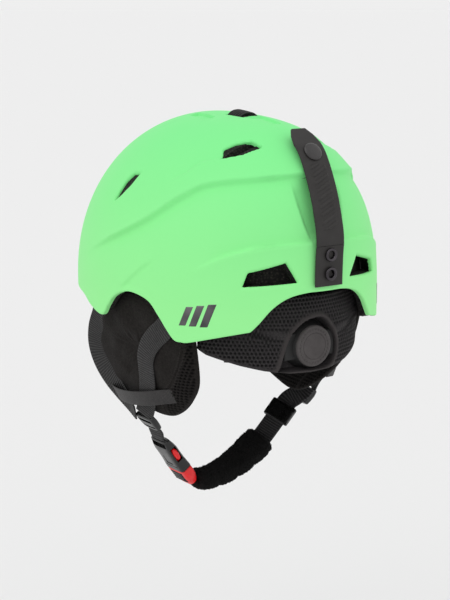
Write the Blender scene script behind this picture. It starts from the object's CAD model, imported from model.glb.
import bpy
import bmesh
import math
import numpy as np
from contextlib import contextmanager
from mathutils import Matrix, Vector


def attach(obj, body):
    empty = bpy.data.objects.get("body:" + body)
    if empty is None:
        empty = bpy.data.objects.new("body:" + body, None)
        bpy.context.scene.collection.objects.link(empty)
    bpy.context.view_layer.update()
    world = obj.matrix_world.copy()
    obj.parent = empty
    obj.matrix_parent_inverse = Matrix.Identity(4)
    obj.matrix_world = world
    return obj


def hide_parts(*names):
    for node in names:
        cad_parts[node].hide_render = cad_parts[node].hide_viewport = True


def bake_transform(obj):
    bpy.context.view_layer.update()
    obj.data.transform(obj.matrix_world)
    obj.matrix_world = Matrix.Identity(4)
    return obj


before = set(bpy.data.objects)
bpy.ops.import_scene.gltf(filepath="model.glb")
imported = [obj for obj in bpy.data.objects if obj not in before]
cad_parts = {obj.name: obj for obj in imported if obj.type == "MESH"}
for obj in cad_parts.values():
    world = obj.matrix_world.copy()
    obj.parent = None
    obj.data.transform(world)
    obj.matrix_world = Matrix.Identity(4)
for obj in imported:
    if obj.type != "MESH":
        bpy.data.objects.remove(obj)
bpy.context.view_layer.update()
# places and sizes below are in millimetres: +X is the wearer's left, +Y the back, +Z up
MM = 0.001

# ---- camera, floor and light ----

CAMERA_TURN, CAMERA_RISE, CAMERA_AWAY = math.radians(146.5), math.radians(11.5), 1.4
CAMERA_LENS, LOOK_AT = 103.7, Vector((0, 0, 0.009))
FLOOR_Z, FLOOR_HALF, FLOOR_GREY, SKY_GREY = -0.40, 40.0, 0.815, 0.86


def direction(turn, rise):
    """From the object towards a viewer at this azimuth and elevation."""
    return Vector((math.sin(turn) * math.cos(rise), -math.cos(turn) * math.cos(rise), math.sin(rise)))


def add_camera():
    lens = bpy.data.cameras.new("camera")
    lens.lens, lens.sensor_width = CAMERA_LENS, 36
    lens.clip_end = 20
    camera = bpy.data.objects.new("camera", lens)
    back = direction(CAMERA_TURN, CAMERA_RISE)
    camera.location = LOOK_AT + back * CAMERA_AWAY
    camera.rotation_euler = (-back).to_track_quat("-Z", "Y").to_euler()
    bpy.context.collection.objects.link(camera)
    bpy.context.scene.camera = camera


def add_light(name, turn, rise, spread, strength):
    """A soft sun from this azimuth and elevation, in degrees."""
    lamp = bpy.data.lights.new(name, "SUN")
    lamp.angle, lamp.energy = math.radians(spread), strength
    obj = bpy.data.objects.new(name, lamp)
    back = direction(math.radians(turn), math.radians(rise))
    obj.rotation_euler = (-back).to_track_quat("-Z", "Y").to_euler()
    bpy.context.collection.objects.link(obj)


def add_stage():
    """A plain pale floor and an even grey-white sky."""
    data = bpy.data.meshes.new("floor")
    corners = ((-1, -1), (1, -1), (1, 1), (-1, 1))
    data.from_pydata([(x * FLOOR_HALF, y * FLOOR_HALF, FLOOR_Z) for x, y in corners], [], [(0, 1, 2, 3)])
    floor = bpy.data.objects.new("floor", data)
    bpy.context.collection.objects.link(floor)
    pale = bpy.data.materials.new("floor_pale")
    pale.use_nodes = True
    shader = pale.node_tree.nodes["Principled BSDF"]
    shader.inputs["Base Color"].default_value = (*[FLOOR_GREY] * 3, 1)
    shader.inputs["Roughness"].default_value = 0.9
    data.materials.append(pale)
    world = bpy.data.worlds.new("studio")
    world.use_nodes = True
    world.node_tree.nodes["Background"].inputs["Color"].default_value = (*[SKY_GREY] * 3, 1)
    bpy.context.scene.world = world


# ---- materials ----

def srgb(*rgb):
    """0-255 screen values as the linear colour a shader takes."""
    out = []
    for value in rgb:
        c = value / 255
        out.append(c / 12.92 if c <= 0.04045 else ((c + 0.055) / 1.055) ** 2.4)
    return (*out, 1)


class Look:
    """A Principled material built node by node."""

    def __init__(self, name, roughness, **sockets):
        self.material = bpy.data.materials.new(name)
        self.material.use_nodes = True
        self.tree = self.material.node_tree
        self.shader = self.tree.nodes["Principled BSDF"]
        self.shader.inputs["Roughness"].default_value = roughness
        for key, value in sockets.items():
            self.shader.inputs[key.replace("_", " ")].default_value = value

    def node(self, kind, **values):
        made = self.tree.nodes.new(kind)
        for key, value in values.items():
            if key in made.inputs:
                made.inputs[key].default_value = value
            else:
                setattr(made, key, value)
        return made

    def join(self, out, into):
        self.tree.links.new(out, into)

    def place(self):
        if not hasattr(self, "coords"):
            self.coords = self.node("ShaderNodeTexCoord").outputs["Object"]
        return self.coords

    def noise(self, scale, detail=3.0, rough=0.5):
        made = self.node("ShaderNodeTexNoise", Scale=scale, Detail=detail, Roughness=rough)
        self.join(self.place(), made.inputs["Vector"])
        return made.outputs["Fac"]

    def voronoi(self, scale):
        made = self.node("ShaderNodeTexVoronoi", Scale=scale)
        self.join(self.place(), made.inputs["Vector"])
        return made.outputs["Distance"]

    def ramp(self, fac, *stops):
        made = self.node("ShaderNodeValToRGB")
        ramp = made.color_ramp
        while len(ramp.elements) < len(stops):
            ramp.elements.new(0.5)
        for element, (place, colour) in zip(ramp.elements, stops):
            element.position, element.color = place, colour
        self.join(fac, made.inputs["Fac"])
        return made.outputs["Color"]

    def feed(self, socket, value):
        """Gives a socket a plain value or another node's output."""
        if isinstance(value, (int, float, tuple)):
            socket.default_value = value
        else:
            self.join(value, socket)

    def math(self, operation, a, b):
        made = self.node("ShaderNodeMath", operation=operation)
        self.feed(made.inputs[0], a)
        self.feed(made.inputs[1], b)
        return made.outputs[0]

    def mix(self, fac, a, b):
        made = self.node("ShaderNodeMix", data_type="RGBA")
        for place, value in ((0, fac), (6, a), (7, b)):
            self.feed(made.inputs[place], value)
        return made.outputs[2]

    def attribute(self, name):
        return self.node("ShaderNodeAttribute", attribute_name=name).outputs["Fac"]

    def colour(self, out):
        self.join(out, self.shader.inputs["Base Color"])

    def rough(self, fac, low, high):
        made = self.node("ShaderNodeMapRange")
        made.inputs["To Min"].default_value = low
        made.inputs["To Max"].default_value = high
        self.join(fac, made.inputs["Value"])
        self.join(made.outputs[0], self.shader.inputs["Roughness"])

    def bump(self, height, distance, strength=1.0):
        made = self.node("ShaderNodeBump", Strength=strength, Distance=distance)
        self.join(height, made.inputs["Height"])
        if hasattr(self, "last_bump"):
            self.join(self.last_bump, made.inputs["Normal"])
        self.last_bump = made.outputs["Normal"]
        self.join(self.last_bump, self.shader.inputs["Normal"])


def shell_paint():
    """Matt green, a little yellower low down and bluer at the crown."""
    look = Look("shell_green", 0.55, Specular_IOR_Level=0.3)
    parts = look.node("ShaderNodeSeparateXYZ")
    look.join(look.place(), parts.inputs[0])
    height = look.math("MULTIPLY", parts.outputs["Z"], 6.2)
    mottled = look.math("ADD", height, look.math("MULTIPLY", look.noise(9, 2), 0.12))
    look.colour(look.ramp(mottled, (0.2, srgb(152, 244, 152)), (1.0, srgb(126, 238, 144))))
    look.rough(look.noise(60, 4), 0.5, 0.62)
    look.bump(look.noise(2600, 2), 0.00003, 0.35)
    return look.material


def foam_look():
    """Dark bead foam with paler specks."""
    look = Look("eps_foam", 0.8, Specular_IOR_Level=0.3)
    beads = look.voronoi(520)
    look.colour(look.ramp(beads, (0.0, srgb(70, 66, 58)), (0.25, srgb(40, 38, 34)), (0.6, srgb(16, 15, 14))))
    look.bump(beads, 0.0006, 0.8)
    return look.material


def comfort_look():
    """The inner pads' dark cloth."""
    look = Look("comfort_fabric", 0.9, Sheen_Weight=0.03, Sheen_Roughness=0.5, Specular_IOR_Level=0.08)
    look.colour(look.ramp(look.noise(220, 5, 0.7), (0.3, srgb(26, 25, 25)), (0.8, srgb(47, 45, 45))))
    look.bump(look.voronoi(1400), 0.0002, 0.6)
    return look.material


def moulded(name, colour, roughness, grain=900, depth=0.00004, **sockets):
    """Moulded plastic or rubber with a fine grain."""
    look = Look(name, roughness, **sockets)
    worn = srgb(*(min(255, int(c * 1.2) + 6) for c in colour))
    look.colour(look.ramp(look.noise(70, 5, 0.65), (0.35, srgb(*colour)), (0.8, worn)))
    look.rough(look.noise(140, 4), max(0.05, roughness - 0.06), roughness + 0.08)
    look.bump(look.noise(grain, 3), depth, 0.5)
    return look.material


def metal(name, colour, roughness):
    look = Look(name, roughness, Metallic=1.0)
    worn = srgb(*(int(c * 1.25) for c in colour))
    look.colour(look.ramp(look.noise(90, 5), (0.3, srgb(*colour)), (0.8, worn)))
    look.rough(look.noise(300, 5), roughness - 0.08, roughness + 0.12)
    look.bump(look.noise(700, 3), 0.00002, 0.4)
    return look.material


# ---- mesh helpers ----

def mesh_piece(name, points, faces, material):
    """A smooth-shaded object; points are in millimetres."""
    data = bpy.data.meshes.new(name)
    data.from_pydata((np.asarray(points, float) * MM).tolist(), [], faces)
    data.validate()
    data.materials.append(material)
    data.shade_smooth()
    piece = bpy.data.objects.new(name, data)
    bpy.context.collection.objects.link(piece)
    return piece


@contextmanager
def editing(piece):
    """A bmesh of the piece's mesh, written back at the end."""
    work = bmesh.new()
    work.from_mesh(piece.data)
    yield work
    work.to_mesh(piece.data)
    work.free()


def recalculate(piece):
    with editing(piece) as work:
        bmesh.ops.recalc_face_normals(work, faces=work.faces)


def join(base, others):
    """Makes one mesh of several."""
    with editing(base) as work:
        for other in others:
            work.from_mesh(other.data)
            bpy.data.objects.remove(other)
    base.data.shade_smooth()


def apply_modifier(piece, kind, **settings):
    bpy.context.view_layer.objects.active = piece
    modifier = piece.modifiers.new(kind.lower(), kind)
    for key, value in settings.items():
        setattr(modifier, key, value)
    bpy.ops.object.modifier_apply(modifier=modifier.name)


def points_of(piece):
    """The piece's points, in millimetres."""
    return np.array([v.co for v in piece.data.vertices]) / MM


def move_points(piece, points):
    piece.data.vertices.foreach_set("co", (points * MM).ravel())
    piece.data.update()


def set_attribute(piece, name, values):
    made = piece.data.attributes.new(name, "FLOAT", "POINT")
    made.data.foreach_set("value", np.asarray(values, np.float32))


def finish_piece(piece, body, slot, *nodes):
    """Registers what the piece replaces, its slot and, unless it blends between two, its body."""
    if nodes:
        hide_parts(*nodes)
    if body:
        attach(piece, body)


def mirrored(name, piece):
    """The same piece for the wearer's right."""
    data = piece.data.copy()
    data.name = name
    for v in data.vertices:
        v.co.x = -v.co.x
    data.flip_normals()
    twin = bpy.data.objects.new(name, data)
    bpy.context.collection.objects.link(twin)
    return twin


def grid_faces(rows, columns, wrap_columns=False, wrap_rows=False):
    """Quads over a grid of points stored row by row."""
    faces = []
    for j in range(rows if wrap_rows else rows - 1):
        for i in range(columns if wrap_columns else columns - 1):
            a, b = j * columns + i, j * columns + (i + 1) % columns
            k = (j + 1) % rows
            faces.append((a, b, k * columns + (i + 1) % columns, k * columns + i))
    return faces


def smooth_step(x, low, high):
    t = np.clip((x - low) / (high - low), 0, 1)
    return t * t * (3 - 2 * t)


def polygon_distance(p, corners):
    """Signed distance from 2-D points to a closed outline, negative inside."""
    corners = np.asarray(corners, float)
    best = np.full(len(p), 1e9)
    inside = np.zeros(len(p), bool)
    for a, b in zip(corners, np.roll(corners, -1, axis=0)):
        edge, away = b - a, p - a
        t = np.clip((away @ edge) / (edge @ edge), 0, 1)
        best = np.minimum(best, np.hypot(*(away - t[:, None] * edge).T))
        crosses = (a[1] > p[:, 1]) != (b[1] > p[:, 1])
        rise = edge[1] if edge[1] else 1e-9
        inside ^= crosses & (p[:, 0] < a[0] + (p[:, 1] - a[1]) * edge[0] / rise)
    return np.where(inside, -best, best)


def line_distance(p, points):
    """Distance to an open line, which side (positive left of travel), and how far along (0 to 1)."""
    points = np.asarray(points, float)
    best = np.full(len(p), 1e9)
    side = np.zeros(len(p))
    along = np.zeros(len(p))
    lengths = np.hypot(*np.diff(points, axis=0).T)
    starts = np.concatenate([[0], np.cumsum(lengths)])
    for k, (a, b) in enumerate(zip(points, points[1:])):
        edge, away = b - a, p - a
        t = np.clip((away @ edge) / (edge @ edge), 0, 1)
        gap = np.hypot(*(away - t[:, None] * edge).T)
        near = gap < best
        best = np.where(near, gap, best)
        side = np.where(near, np.sign(edge[0] * away[:, 1] - edge[1] * away[:, 0]), side)
        along = np.where(near, (starts[k] + t * lengths[k]) / starts[-1], along)
    return best, side, along


def travelled(points):
    """Distance from the first point to each, along the line through them."""
    return np.concatenate([[0], np.cumsum(np.linalg.norm(np.diff(points, axis=0), axis=1))])


def sampled(places, at, values):
    """Rows of values, one for each of the places, read off at other places between them."""
    return np.stack([np.interp(at, places, column) for column in values.T], axis=1)


def even_curve(controls, count, closed):
    """Evenly spaced points on the Catmull-Rom curve from the second control to the last but one."""
    fine = []
    spans = len(controls) - 3
    for k in range(spans):
        a, b, c, d = controls[k:k + 4]
        t = np.linspace(0, 1, 24, endpoint=not closed and k == spans - 1)[:, None]
        fine.append(0.5 * (2 * b + (c - a) * t + (2 * a - 5 * b + 4 * c - d) * t**2
                           + (3 * b - a - 3 * c + d) * t**3))
    if closed:
        fine.append(fine[0][:1])
    fine = np.vstack(fine)
    step = travelled(fine)
    return sampled(step, np.linspace(0, step[-1], count, endpoint=not closed), fine)


def curve_through(points, count):
    """An open curve through the points, its ends running straight out."""
    points = np.asarray(points, float)
    before, after = 2 * points[0] - points[1], 2 * points[-1] - points[-2]
    return even_curve(np.vstack([before, points, after]), count, False)


def closed_curve(points, count):
    points = np.asarray(points, float)
    return even_curve(np.vstack([points[-1:], points, points[:2]]), count, True)


def rounded_square(turn, power):
    """Points of a circle pushed out towards a square: power 2 is the circle itself."""
    c, s = np.cos(turn), np.sin(turn)
    r = (np.abs(c) ** power + np.abs(s) ** power) ** (-1 / power)
    return r * c, r * s


def unit(v):
    v = np.asarray(v, float)
    return v / np.linalg.norm(v)


# ---- the shell ----

HALF_WIDTH, HALF_LENGTH, CROWN, WIDEST = 112.0, 137.0, 161.5, 30.0
SIDE_CURVE, FRONT_CURVE, REAR_CURVE = 2.0, 2.2, 3.4
COLUMNS, ROWS = 700, 210
CHART_RADIUS, DENT_DEPTH, LIP = 115.0, 2.0, 1.5
SKIN_STEPS, SKIN_STEP, FAR_FROM_VENT = 3, 0.8, 60.0

# the lower edge seen from the side (y, z), and the arch at the nape (half width, z)
SIDE_EDGE = [(-137, 21), (-60, 19.5), (-41, 18), (-25, 12.5), (-5.5, 9), (4, 18), (13.7, 27), (31, 33),
             (50, 29), (60, 18.5), (67, 8.6), (73, 1.2), (78.5, 0), (84, 0.4), (102, 5.6), (120, 11),
             (137, 16)]
ARCH_EDGE = [(0, 39), (17, 38.7), (31, 35.5), (41.9, 28), (50.8, 16.8), (55.8, 11), (62, 5)]

REAR_VENT = [(61, 44.5), (57.5, 55), (32.5, 62.3), (24, 47)]
UPPER_VENT = [(52, 74), (46.5, 67.5), (38, 72), (29.5, 80), (27.5, 91.5), (41, 85)]
FRONT_SLIT = [(-10.2, 96.5), (-9.3, 103), (-7, 112), (-2, 118), (6.5, 119), (3, 110), (-3.5, 102)]
TOP_VENT = [(-8.5, 14), (8.5, 14), (8, 38), (-8, 38)]
CROWN_DENTS = [[(-7.5, 40), (7.5, 40), (5, 70), (-5, 70)], [(14, -18), (22, -16), (27, 13), (19, 15)]]

# moulded lines, as points on the left half
CROWN_CREASE = [(88, 41, 114), (77, 56, 122), (65, 64, 131), (52, 75, 135)]
SIDE_RIDGE = [(107, -40, 51), (103, 32, 84), (83, 65, 107), (63, 84, 118), (16, 109, 124.5), (0, 112, 125)]
REAR_STEP = [(88, 84, 53.5), (72, 103, 66), (49, 120.5, 74), (13, 133.5, 77), (0, 136, 77)]
TEMPLE_CREASE = [(111, 19, 32), (109, 31, 42), (105.5, 44, 53), (100, 57, 62)]


def spans_at(z, inset=0.0, highest=1.0):
    """The shell's half width, front reach and rear reach at a height, or those of a form inset from it."""
    rise = np.clip((z - WIDEST) / (CROWN - inset - WIDEST), 0, highest)
    return [(size - inset) * (1 - rise**power) ** (1 / power) for size, power in (
        (HALF_WIDTH, SIDE_CURVE), (HALF_LENGTH, FRONT_CURVE), (HALF_LENGTH, REAR_CURVE))]


def shell_form(turn, z, inset=0.0, highest=1.0):
    """The shell's plain outer surface, or one inset from it."""
    side, front, rear = spans_at(z, inset, highest)
    reach = np.where(np.sin(turn) > 0, rear, front)
    return np.stack([side * np.cos(turn), reach * np.sin(turn), z], axis=-1)


def shell_side(y, z):
    """Outer surface of the shell's left side at (y, z)."""
    return np.stack([spans_at(z)[0] * np.sqrt(np.clip(1 - (y / HALF_LENGTH) ** 2, 0, 1)), y, z], axis=-1)


def edge_height(turn):
    """Height of the shell's lower edge at each turn round the helmet."""
    low = shell_form(turn, np.full_like(turn, 10.0))
    side_y, side_z = curve_through(SIDE_EDGE, 600).T
    height = np.interp(low[:, 1], side_y, side_z)
    arch_x, arch_z = curve_through(ARCH_EDGE, 200).T
    arch = np.interp(np.abs(low[:, 0]), arch_x, arch_z)
    rear = (low[:, 1] > 60) & (np.abs(low[:, 0]) < arch_x[-1])
    return np.where(rear, np.maximum(height, arch), height)


def chart(points):
    """Round-the-helmet distance and height, for measuring beside a moulded line."""
    x, y, z = np.asarray(points, float).T
    side, front, rear = spans_at(z, highest=0.999)
    reach = np.where(y > 0, rear, front)
    return np.stack([CHART_RADIUS * np.arctan2(y / reach, np.abs(x) / side), z], axis=-1)


def ridge(flat, line, left, right, edge, fade_in, crest=0.0, fade_out=None):
    """A moulded line's relief: (height, reach) on each side of travel, and how sharp the line is."""
    gap, side, along = line_distance(flat, curve_through(chart(line), 40))
    s = gap * side
    fade = smooth_step(along, 0.0, fade_in)
    if fade_out:
        fade = fade * (1 - smooth_step(along, fade_out, 1.0))
    relief = np.where(s > 0, left[0] * np.exp(-s / left[1]), right[0] * np.exp(s / right[1]))
    return fade * (relief * np.tanh(np.abs(s) / edge) + crest * np.exp(-(s / 3.0) ** 2))


def moulded_relief(points):
    """How far the panels stand out from the plain form, along the surface's normal."""
    flat = chart(points)
    relief = (ridge(flat, SIDE_RIDGE, (1.725, 13), (-2.645, 22), 0.9, 0.25, crest=0.5)
              + ridge(flat, CROWN_CREASE, (-1.5, 12), (0.7, 8), 0.8, 0.35)
              + ridge(flat, REAR_STEP, (-1.7, 14), (1.7, 12), 0.8, 0.3)
              + ridge(flat, TEMPLE_CREASE, (0.8, 9), (-0.8, 9), 0.9, 0.2, fade_out=0.7))
    plan = np.stack([np.abs(points[:, 0]), points[:, 1]], 1)
    for dent in CROWN_DENTS:
        relief -= DENT_DEPTH * smooth_step(-polygon_distance(plan, dent), -0.4, 1.0) * (points[:, 2] > 120)
    return relief


# the hollow behind the goggle strap: its floor, and the start and reach of its walls, as (z, distance)
HOLLOW_FLOOR = [(70, 142), (76, 135), (82, 130.5), (88, 128.5), (110, 122), (121, 119.5), (125, 122),
                (130, 135)]
HOLLOW_NEAR = [(76, 11), (90, 14), (120, 20)]
HOLLOW_FAR = [(76, 16), (90, 24), (120, 31)]


def goggle_hollow(points):
    """Sets the surface back behind the goggle strap."""
    x, y, z = points.T
    floor, near_wall, far_wall = (np.interp(z, *zip(*shape))
                                  for shape in (HOLLOW_FLOOR, HOLLOW_NEAR, HOLLOW_FAR))
    floor = floor + 17 * np.clip((np.abs(x) - near_wall) / (far_wall - near_wall), 0, 2) ** 1.5
    soft = 2.2
    h = np.clip(0.5 + (floor - y) / (2 * soft), 0, 1)
    lower = floor * (1 - h) + y * h - soft * h * (1 - h)
    near = (y > 90) & (z > 66) & (z < 132)
    out = points.copy()
    out[:, 1] = np.where(near, np.minimum(lower, y), y)
    return out


def vent_fields(points):
    """For each vent, the signed distance to its outline."""
    x, y, z = points.T
    plans = ((np.abs(x), z, REAR_VENT, y > 60), (np.abs(x), y, UPPER_VENT, z > 100),
             (y, z, FRONT_SLIT, z > 0), (x, y, TOP_VENT, z > 120))
    return [np.where(near, polygon_distance(np.stack([a, b], 1), outline), FAR_FROM_VENT)
            for a, b, outline, near in plans]


def surface_normals(grid):
    """Outward normals of a grid of shell points, rows by columns, closed round the columns."""
    across = np.roll(grid, -1, axis=1) - np.roll(grid, 1, axis=1)
    up = np.gradient(grid, axis=0)
    normal = np.cross(across, up)
    size = np.linalg.norm(normal, axis=2, keepdims=True)
    return normal / np.maximum(size, 1e-9)


def surface_slope(field, grid):
    """How fast a field grows per millimetre over the grid's surface."""
    across = (np.roll(grid, -1, axis=1) - np.roll(grid, 1, axis=1)) / 2
    up = np.gradient(grid, axis=0)
    fa = (np.roll(field, -1, axis=1) - np.roll(field, 1, axis=1)) / 2
    fu = np.gradient(field, axis=0)
    e, f, g = (across**2).sum(2), (across * up).sum(2), (up**2).sum(2)
    det = np.maximum(e * g - f * f, 1e-9)
    return np.sqrt(np.maximum((g * fa**2 - 2 * f * fa * fu + e * fu**2) / det, 1e-6))


def rolled(distance):
    """How far a rounded lip has dropped at this distance from its edge."""
    inside = np.clip(LIP - distance, 0, LIP)
    return LIP - np.sqrt(np.maximum(LIP**2 - inside**2, 0))


def shell_grid():
    """Points from the lower edge to the crown, and each one's distance from the edge."""
    turn = np.arange(COLUMNS) * 2 * math.pi / COLUMNS
    heights = np.concatenate([np.linspace(-2, WIDEST, 40), WIDEST + (CROWN - WIDEST) * np.sin(
        np.linspace(0, math.pi / 2, 400))[1:]])
    sigma = travelled(np.stack([heights, spans_at(heights)[2]], axis=1))
    start = np.interp(edge_height(turn), heights, sigma)
    top = sigma[-1] - 0.15
    near_edge = [0.0, 0.12, 0.3, 0.55, 0.85, 1.2, 1.7, 2.4, 3.2, 4.2]
    rows = np.concatenate([near_edge, np.linspace(5.4, top, ROWS)])
    share = rows / rows[-1]
    place = start[None, :] + share[:, None] * (top - start[None, :])
    z = np.interp(place, sigma, heights)
    grid = shell_form(np.broadcast_to(turn, z.shape), z)
    slope = np.gradient(start) / np.maximum(np.linalg.norm(
        np.roll(grid[0], -1, axis=0) - np.roll(grid[0], 1, axis=0), axis=1) / 2, 1e-6)
    edge_gap = (place - start[None, :]) / np.sqrt(1 + slope[None, :] ** 2)
    return grid, edge_gap


def clip_grid(points, field, rows, columns):
    """Faces of a closed-round grid where the field is positive, cut exactly along its zero line."""
    keep = field > 0
    verts = [tuple(p) for p in points]
    cut = {}
    faces = []

    def crossing(a, b):
        key = (a, b) if a < b else (b, a)
        if key not in cut:
            t = field[a] / (field[a] - field[b])
            cut[key] = len(verts)
            verts.append(tuple(points[a] + (points[b] - points[a]) * t))
        return cut[key]

    for quad in grid_faces(rows, columns, wrap_columns=True):
        inside = [keep[i] for i in quad]
        if all(inside):
            faces.append(quad)
        elif any(inside):
            face = []
            for k in range(4):
                a, b = quad[k], quad[(k + 1) % 4]
                if keep[a]:
                    face.append(a)
                if keep[a] != keep[b]:
                    face.append(crossing(a, b))
            if len(face) > 2:
                faces.append(tuple(face))
    return verts, faces


def build_shell():
    """The painted skin: moulded, vented, rolled at its edges and turned inwards round its openings."""
    grid, edge_gap = shell_grid()
    rows, columns = grid.shape[:2]
    normal = surface_normals(grid)
    flat = grid.reshape(-1, 3)
    relief = moulded_relief(flat) * smooth_step(edge_gap.ravel(), 0, 6)
    shaped = goggle_hollow(flat + normal.reshape(-1, 3) * relief[:, None])
    grid = shaped.reshape(rows, columns, 3)
    normal = surface_normals(grid)
    fields = []
    for field in vent_fields(flat):
        field = field.reshape(rows, columns)
        fields.append(field / np.clip(surface_slope(field, grid), 0.35, 3))
    vent = np.min(fields, axis=0)
    drop = rolled(np.maximum(vent, 0)) + rolled(edge_gap)
    grid = grid - normal * drop[..., None]
    verts, faces = clip_grid(grid.reshape(-1, 3), vent.ravel(), rows, columns)
    crown = len(verts)
    verts.append(tuple(grid[-1].mean(axis=0) + (0, 0, 0.05)))
    top = (rows - 1) * columns
    faces += [(top + i, top + (i + 1) % columns, crown) for i in range(columns)]
    piece = mesh_piece("shell_skin", verts, faces, shell_paint())
    with editing(piece) as work:
        loose = [v for v in work.verts if not v.link_faces]
        bmesh.ops.delete(work, geom=loose, context="VERTS")
        bmesh.ops.remove_doubles(work, verts=work.verts, dist=0.00002)
        work.normal_update()
        rims = [e for e in work.edges if e.is_boundary]
        for _ in range(SKIN_STEPS):
            made = bmesh.ops.extrude_edge_only(work, edges=rims)["geom"]
            rims = [e for e in made if isinstance(e, bmesh.types.BMEdge) and e.is_boundary]
            for v in (v for v in made if isinstance(v, bmesh.types.BMVert)):
                inward = Vector((v.co.x * 0.8, v.co.y * 0.7, max(v.co.z - 0.03, 0))).normalized()
                v.co -= inward * SKIN_STEP * MM
        bmesh.ops.recalc_face_normals(work, faces=work.faces)
    piece.data.shade_smooth()
    finish_piece(piece, "helmet", "shell_green", "outer_shell")


# ---- what shows inside the vents ----

VENT_DEPTH = 15.0
GRILLE_HALF, GRILLE_BARS, GRILLE_PITCH = 8.4, 6, 3.0


def inner_dome(turn, z, inset):
    """The shell's form set back, for what lines it."""
    return shell_form(turn, z, inset, 0.9999)


def vent_floor(name, plan, place, margin, material):
    """Foam closing a vent's inner end: plan is the outline, place(a, b) gives its points."""
    outline = closed_curve(plan, 60)
    centre = outline.mean(axis=0)
    rings = [centre + (outline - centre) * margin * share for share in np.linspace(1, 0.02, 14)]
    verts = np.vstack([place(*ring.T) for ring in rings])
    piece = mesh_piece(name, verts, grid_faces(14, 60, wrap_columns=True), material)
    apply_modifier(piece, "SOLIDIFY", thickness=1.6 * MM)
    return piece


def build_vent_floors(foam):
    def rear_place(x, z):
        return inner_dome(np.arccos(np.clip(x / (HALF_WIDTH - VENT_DEPTH), -1, 1)), z, VENT_DEPTH)

    left = vent_floor("vent_floor_left", REAR_VENT, rear_place, 1.45, foam)
    for piece in (left, mirrored("vent_floor_right", left)):
        finish_piece(piece, "helmet", "eps_foam")


def build_grille():
    """A ribbed black insert standing just proud of the crown."""
    black = moulded("grille_black", (12, 12, 12), 0.5)

    def crown(x, y, lift):
        r = np.hypot(x / HALF_WIDTH, y / HALF_LENGTH)
        return np.array([x, y, WIDEST + (CROWN - WIDEST) * (1 - r**2.6) ** (1 / 2.6) + lift])

    bars = []
    for i in range(GRILLE_BARS):
        y = 17.5 + GRILLE_PITCH * i
        arch = [(crown(x, y, 2.6 - 3.2 * abs(x / GRILLE_HALF) ** 2.4), (0, 1, 0))
                for x in np.linspace(-GRILLE_HALF, GRILLE_HALF, 9)]
        bars.append(ribbon(f"grille_bar_{i}", arch, 1.7, 1.6, black))
    for x in (-5.0, 0.0, 5.0):
        keel = [(crown(x, y, 0.2), (1, 0, 0)) for y in np.linspace(15, 37, 7)]
        bars.append(ribbon(f"grille_keel_{x}", keel, 1.8, 1.4, black))
    join(bars[0], bars[1:])
    bars[0].name = "crown_grille"
    finish_piece(bars[0], "helmet", "vent_mesh", "top_vent_grille")


# ---- places shared with the CAD ----

EAR_RADII, EAR_CENTRE = np.array([99.0, 140.0, 138.0]), np.array([0, 0, 20.0])
PIVOT_Y = 5.0
WEB_WIDTH = 18.0
DIAL_Z = -5.8
KNOB_FACE = np.array([0.0, 122.7, DIAL_Z])
BUCKLE_START = np.array([62.0, PIVOT_Y, -101.0])
BUCKLE_ALONG = np.array([-0.577, 0.0, -0.817]) / math.hypot(0.577, 0.817)


def on_ear(y, z, gap=0.0):
    """Points of the curved face that the ear pads lie on, or of one a gap outside it."""
    a, b, c = EAR_RADII + gap
    y, z = np.asarray(y, float), np.asarray(z, float)
    x = a * np.sqrt(np.maximum(1 - (y / b) ** 2 - ((z - EAR_CENTRE[2]) / c) ** 2, 0.02))
    return np.stack([x, y, z], axis=-1)


def ear_normal(points):
    n = (np.asarray(points, float) - EAR_CENTRE) / EAR_RADII**2
    return n / np.linalg.norm(n, axis=-1, keepdims=True)


# ---- straps ----

def strap_section(width, thickness, across_count):
    """A flat strap's cross-section with rounded edges, as (across, outward) points."""
    half, radius = width / 2, thickness / 2
    inner = np.linspace(-(half - radius), half - radius, across_count)
    points = [(x, radius) for x in inner]
    for turn in np.linspace(math.pi / 2, -math.pi / 2, 7)[1:-1]:
        points.append((half - radius + radius * math.cos(turn), radius * math.sin(turn)))
    points += [(x, -radius) for x in inner[::-1]]
    for turn in np.linspace(-math.pi / 2, -3 * math.pi / 2, 7)[1:-1]:
        points.append((-(half - radius) + radius * math.cos(turn), radius * math.sin(turn)))
    return np.array(points)


def strap_frame(stations, count):
    """A strap's even path, its directions across and outwards, and the distances along it."""
    points = np.array([p for p, _ in stations], float)
    sides = np.array([unit(s) for _, s in stations])
    path = curve_through(points, count)
    where = travelled(points)
    even = np.linspace(0, where[-1], count)
    side = sampled(where, even, sides)
    along = np.gradient(path, axis=0)
    along /= np.linalg.norm(along, axis=1, keepdims=True)
    side -= along * (side * along).sum(1, keepdims=True)
    side /= np.linalg.norm(side, axis=1, keepdims=True)
    return path, side, np.cross(along, side), even


def tube_faces(count, ring):
    """Faces of a closed tube of rings, with its two ends."""
    faces = grid_faces(count, ring, wrap_columns=True)
    return faces + [tuple(range(ring))[::-1], tuple(range((count - 1) * ring, count * ring))]


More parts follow.
